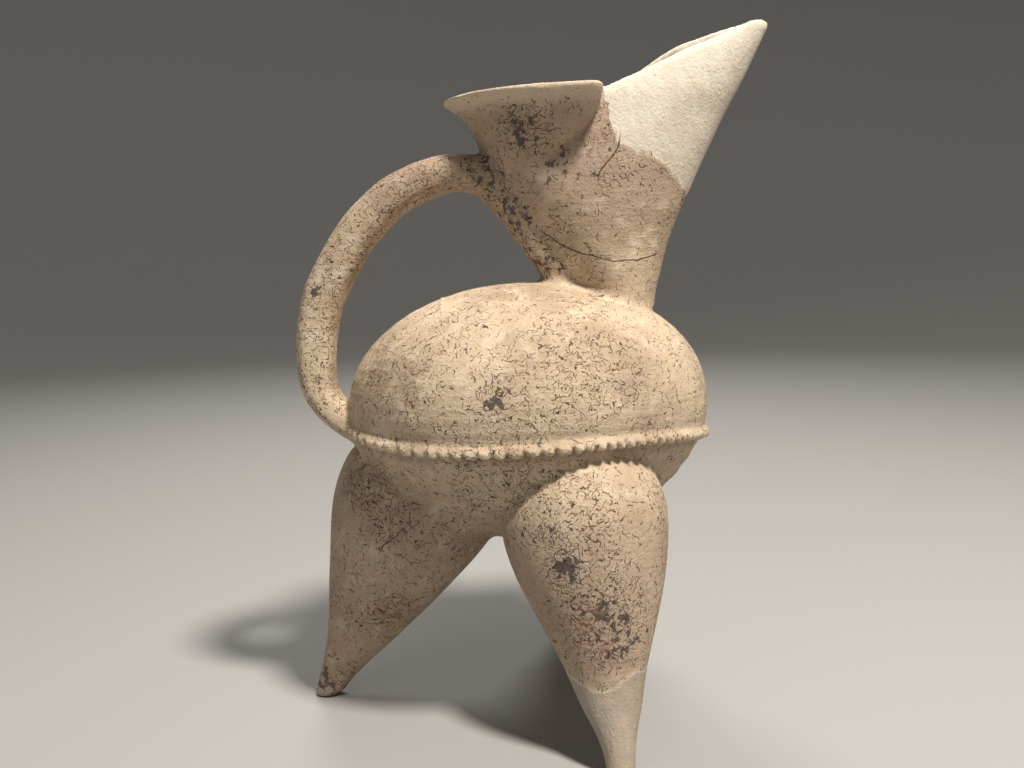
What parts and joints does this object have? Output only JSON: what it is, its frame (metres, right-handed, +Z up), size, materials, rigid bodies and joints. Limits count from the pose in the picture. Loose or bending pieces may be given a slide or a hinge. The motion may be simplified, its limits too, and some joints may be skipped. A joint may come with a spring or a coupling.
{
  "type": "pottery gui vessel",
  "caption": "Hollow pottery pouring vessel on pouch legs, with a strap handle, notched waist band, funnel mouth and long upturned beak.",
  "frame": {"origin": "on the ground, at the middle of the vessel's overall footprint", "axes": "+Z up; +X towards the beak, away from the handle; +Y to the vessel's left, seen from behind the handle"},
  "size_m": [0.211, 0.1886, 0.2976],
  "materials": {
    "fired_clay": "matt, unglazed, stained and scratched"
  },
  "bodies": {
    "root": {"gui_vessel": "fired_clay"}
  },
  "joints": []
}
